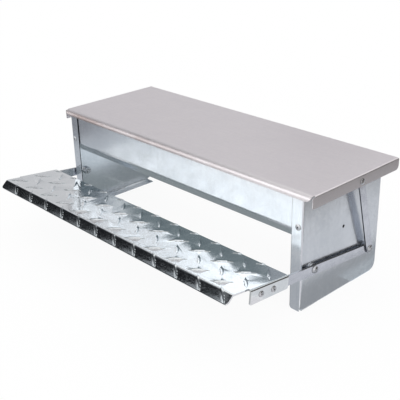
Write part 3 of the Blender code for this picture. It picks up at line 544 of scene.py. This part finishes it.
# what a blind rivet leaves in its head: the broken end of its steel mandrel, low in the dimple
mandrel = {
    "radius": 0.00110, "length": 0.0009, "chamfer": 0.00022, "tip": 0.00045,
    "tipRise": 0.00012, "belowRim": 0.00030, "steps": 20, "weld": 0.000004,
    "slot": "zinc_plated_fastener",
}
# the body that each kind of rivet rides on, the way it faces, and its mandrel's steel
riveted = {
    "front_column_rivet": ("housing", (0, -1, 0), mandrelEnd),
    "rear_column_rivet": ("housing", (0, 1, 0), mandrelEnd),
    "hinge_rivet": ("housing", (0, 1, 0), mandrelEnd),
    "lid_rivet": ("lid", "side", rustedEnd),
    "link_rivet": ("treadle", "side", rustedEnd),
    "treadle_rivet": ("treadle", "side", mandrelEnd),
}
# the spare hole in each cheek is dark inside: a recessed near-black disc of painted shade sits in
# it
wallHole = {
    "radius": 0.00218, "length": 0.00030, "chamfer": 0.00008, "tip": 0.0012,
    "tipRise": -0.00005, "steps": 28, "weld": 0.000004, "slot": "galvanised_sheet",
    "across": 0.23945, "fromMiddle": 0.060826, "height": 0.0930,
}


# a half section is spun to a small turned piece, stood on its place and pointed out of the sheet
def turnedPiece(name, settings, centre, out, material, body):
    radius, chamfer = settings["radius"], settings["chamfer"]
    section = [(0, -settings["length"]), (radius, -settings["length"]), (radius, -chamfer),
               (radius - chamfer, 0), (settings["tip"], settings["tipRise"] / 2),
               (0, settings["tipRise"])]
    shape = bmesh.new()
    points = [shape.verts.new((along, 0, up)) for along, up in section]
    line = [shape.edges.new(pair) for pair in zip(points, points[1:])]
    bmesh.ops.spin(shape, geom=points + line, cent=(0, 0, 0), axis=(0, 0, 1),
                   angle=2 * math.pi, steps=settings["steps"], use_merge=True)
    bmesh.ops.remove_doubles(shape, verts=shape.verts, dist=settings["weld"])
    bmesh.ops.recalc_face_normals(shape, faces=shape.faces)
    turn = Vector((0, 0, 1)).rotation_difference(Vector(out)).to_matrix().to_4x4()
    bmesh.ops.transform(shape, matrix=Matrix.Translation(centre) @ turn, verts=shape.verts)
    mesh = bpy.data.meshes.new(name)
    shape.to_mesh(mesh)
    shape.free()
    mesh.materials.append(material)
    piece = bpy.data.objects.new(name, mesh)
    bpy.context.scene.collection.objects.link(piece)
    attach(piece, body)


def addMandrels(settings):
    for name in nodes:
        kinds = [kind for kind in riveted if kind in name]
        if not kinds:
            continue
        body, out, steel = riveted[kinds[0]]
        if out == "side":
            out = (-1, 0, 0) if name.startswith("left") else (1, 0, 0)
        low, high = (Vector(corner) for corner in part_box(name))
        centre = (low + high) / 2
        axis = 0 if out[0] else 1
        crown = high[axis] if out[axis] > 0 else low[axis]
        centre[axis] = crown - out[axis] * (settings["belowRim"] + settings["tipRise"])
        turnedPiece(name + "_mandrel", settings, centre, out, steel, body)


def addWallHoles(settings):
    for side, way in (("left", -1), ("right", 1)):
        centre = (way * settings["across"], settings["fromMiddle"], settings["height"])
        # a near-black disc of painted shade in each spare hole
        turnedPiece(side + "_wall_hole_shade", settings, centre, (way, 0, 0), holeShade, "housing")


addMandrels(mandrel)
addWallHoles(wallHole)
print("mandrels and wall holes set")


# plain pale floor; it shows white, with the object's shadow kept faint
floorLook = {"reach": 6, "below": 0.0005, "colour": "#ffffff", "shadowShare": 0.08}


def makeFloor(settings):
    shape = bmesh.new()
    bmesh.ops.create_grid(shape, x_segments=1, y_segments=1, size=settings["reach"])
    mesh = bpy.data.meshes.new("floor")
    shape.to_mesh(mesh)
    shape.free()
    floor = bpy.data.objects.new("floor", mesh)
    floor.location.z = -settings["below"]
    bpy.context.scene.collection.objects.link(floor)
    # matt white paper: the eye, the metal and glass see an even white with a share of shadow
    material, tree = newMaterial("whitePaper")
    paper = addNode(tree, "ShaderNodeBsdfDiffuse", {"Color": linear(settings["colour"])})
    white = addNode(tree, "ShaderNodeEmission", {"Color": (1, 1, 1, 1), "Strength": 1.0})
    path = addNode(tree, "ShaderNodeLightPath")
    seen = addNode(tree, "ShaderNodeMath", {"operation": "ADD"},
                   {0: path.outputs["Is Camera Ray"], 1: path.outputs["Is Glossy Ray"]})
    through = addNode(tree, "ShaderNodeMath", {"operation": "ADD", "use_clamp": True},
                      {0: seen.outputs[0], 1: path.outputs["Is Transmission Ray"]})
    share = addNode(tree, "ShaderNodeMath", {
        "operation": "MULTIPLY", 1: 1 - settings["shadowShare"]}, {0: through.outputs[0]})
    blend = addNode(tree, "ShaderNodeMixShader", {},
                    {0: share.outputs[0], 1: paper.outputs[0], 2: white.outputs[0]})
    finishSurface(tree, blend)
    mesh.materials.append(material)


makeFloor(floorLook)

# grey cards round the object, seen only in the metal; corners run round the card, and a card
# that lies on the ground has a lift instead of a height at each corner; a level is the card's
# brightness, or its brightness at the bottom and at the top
onGround, overGround = 0.0006, 0.0012
cards = {
    "leftBackCard": {
        "corners": ((-1.3, -0.40, 0.0), (-1.3, 1.75, 0.0), (-1.3, 1.75, 1.7), (-1.3, -0.40, 1.7)),
        "level": (0.68, 0.66), "tint": "#fcfbfe"},
    "leftBackFarCard": {
        "corners": ((-1.3, 1.75, 0.0), (-1.3, 3.6, 0.0), (-1.3, 3.6, 1.9), (-1.3, 1.75, 1.9)),
        "level": 0.55, "tint": "#fcfaff"},
    "highFlag": {
        "corners": ((-1.28, -0.40, 0.98), (-1.28, 0.42, 1.10), (-1.28, 0.70, 1.55),
                    (-1.28, 0.70, 1.95), (-1.28, -0.40, 1.95)),
        "level": 0.30, "tint": "#f4f8ff"},
    "darkFlag": {
        "corners": ((-1.522, -0.238, 0.42), (-1.428, -0.470, 0.50), (-1.299, -0.789, 0.97),
                    (-1.143, -1.168, 1.50), (-1.143, -1.168, 2.15), (-1.428, -0.470, 1.75),
                    (-1.522, -0.238, 1.60)),
        "level": 0.10, "tint": "#f4f6ff"},
    "lipFlag": {
        "corners": ((-1.80, -1.02, 0.66), (-1.33, -1.47, 0.72), (-1.33, -1.47, 0.90),
                    (-1.80, -1.02, 0.94)),
        "level": 0.40, "tint": "#fff4f2"},
    "frontLight": {
        "corners": ((-1.86, -1.04, 0.20), (-0.55, -2.2, 0.20), (-0.55, -2.2, 2.2),
                    (-1.86, -1.04, 2.2)),
        "level": 1.78, "tint": "#fdfeff"},
    "leftGround": {
        "corners": ((-1.3, -0.95), (-0.27, -0.95), (-0.27, 0.10), (-1.3, 0.10)),
        "lift": onGround, "level": 0.60, "tint": "#eef3fa"},
    "leftColumnShade": {
        "corners": ((-0.85, -0.42), (-0.51, -0.42), (-0.51, -0.06), (-0.85, -0.06)),
        "lift": overGround, "level": 0.24, "tint": "#f4f6ff"},
    "wallFoot": {
        "corners": ((0.2415, -0.03), (0.288, -0.03), (0.288, 1.0), (0.2415, 1.0)),
        "lift": onGround, "level": 0.36, "tint": "#f6faff"},
    "sideGround": {
        "corners": ((0.289, -0.03), (0.43, -0.03), (0.43, 1.0), (0.289, 1.0)),
        "lift": onGround, "level": 0.70, "tint": "#f8faff"},
    "nearGround": {
        "corners": ((0.256, -0.35), (0.60, -0.35), (0.60, -0.032), (0.256, -0.032)),
        "lift": onGround, "level": 0.74, "tint": "#fdfaff"},
    "farGround": {
        "corners": ((0.432, -0.03), (1.5, -0.03), (1.5, 1.6), (0.432, 1.0)),
        "lift": onGround, "level": 0.26, "tint": "#fffaf6"},
    "underTreadle": {
        "corners": ((-0.23, -0.16), (0.10, -0.16), (0.10, 0.008), (-0.23, 0.008)),
        "lift": onGround, "level": 0.30, "tint": "#dff0f4"},
    "columnFoot": {
        "corners": ((0.102, -0.16), (0.24, -0.16), (0.24, 0.008), (0.102, 0.008)),
        "lift": onGround, "level": 0.50, "tint": "#f0f4fa"},
    "underFront": {
        "corners": ((-0.36, 0.01), (0.232, 0.01), (0.232, 0.085), (-0.36, 0.085)),
        "lift": onGround, "level": 0.32, "tint": "#e6f2f6"},
    "underRear": {
        "corners": ((-0.13, 0.086), (0.262, 0.086), (0.262, 0.28), (-0.10, 0.28)),
        "lift": onGround, "level": 0.85, "tint": "#eaf3fa"},
    "underCorner": {
        "corners": ((-0.36, 0.086), (-0.131, 0.086), (-0.101, 0.28), (-0.45, 0.28)),
        "lift": onGround, "level": 0.30, "tint": "#e8f3f8"},
    "cornerShade": {
        "corners": ((-0.225, 0.155), (-0.15, 0.155), (-0.10, 0.27), (-0.225, 0.27)),
        "lift": overGround, "level": 0.10, "tint": "#e8f2f6"},
    "behindCard": {
        "corners": ((-0.60, 0.29, 0.0), (0.262, 0.29, 0.0), (0.262, 0.29, 0.14),
                    (-0.60, 0.29, 0.14)),
        "level": (0.08, 0.42), "tint": "#e8f4f8"},
    "rightBackCard": {
        "corners": ((1.5, 0.2, 0.0), (0.4, 1.6, 0.0), (0.4, 1.6, 0.7), (1.5, 0.2, 0.7)),
        "level": (0.10, 0.12), "tint": "#fff6f0"},
}


def makeCard(name, settings):
    corners = settings["corners"]
    if "lift" in settings:
        corners = [(across, back, settings["lift"]) for across, back in corners]
    shape = bmesh.new()
    shape.faces.new([shape.verts.new(corner) for corner in corners])
    mesh = bpy.data.meshes.new(name)
    shape.to_mesh(mesh)
    shape.free()
    card = bpy.data.objects.new(name, mesh)
    bpy.context.scene.collection.objects.link(card)
    material, tree = newMaterial(name + "Paint")
    level = settings["level"]
    if isinstance(level, tuple):
        heights = [corner[2] for corner in corners]
        place = addNode(tree, "ShaderNodeTexCoord")
        height = addNode(tree, "ShaderNodeSeparateXYZ", {}, {0: place.outputs["Object"]})
        graded = addNode(tree, "ShaderNodeMapRange", {
            "From Min": min(heights), "From Max": max(heights),
            "To Min": level[0], "To Max": level[1]}, {0: height.outputs["Z"]})
        shader = addNode(tree, "ShaderNodeEmission", {"Color": linear(settings["tint"])},
                         {"Strength": graded.outputs[0]})
    else:
        shader = addNode(tree, "ShaderNodeEmission", {
            "Color": linear(settings["tint"]), "Strength": level})
    finishSurface(tree, shader)
    mesh.materials.append(material)
    card.visible_camera = False
    card.visible_diffuse = False
    card.visible_shadow = False
    card.visible_transmission = False


for name, settings in cards.items():
    makeCard(name, settings)
print("floor and cards set")


# soft studio light: an even dome, white behind the object and in the metal
def setWorld():
    world = bpy.data.worlds.new("studio")
    bpy.context.scene.world = world
    world.use_nodes = True
    tree = world.node_tree
    tree.nodes.clear()
    background = addNode(tree, "ShaderNodeBackground", {"Color": (1, 1, 1, 1), "Strength": 1.0})
    output = addNode(tree, "ShaderNodeOutputWorld")
    tree.links.new(background.outputs[0], output.inputs["Surface"])


setWorld()
print("light set")
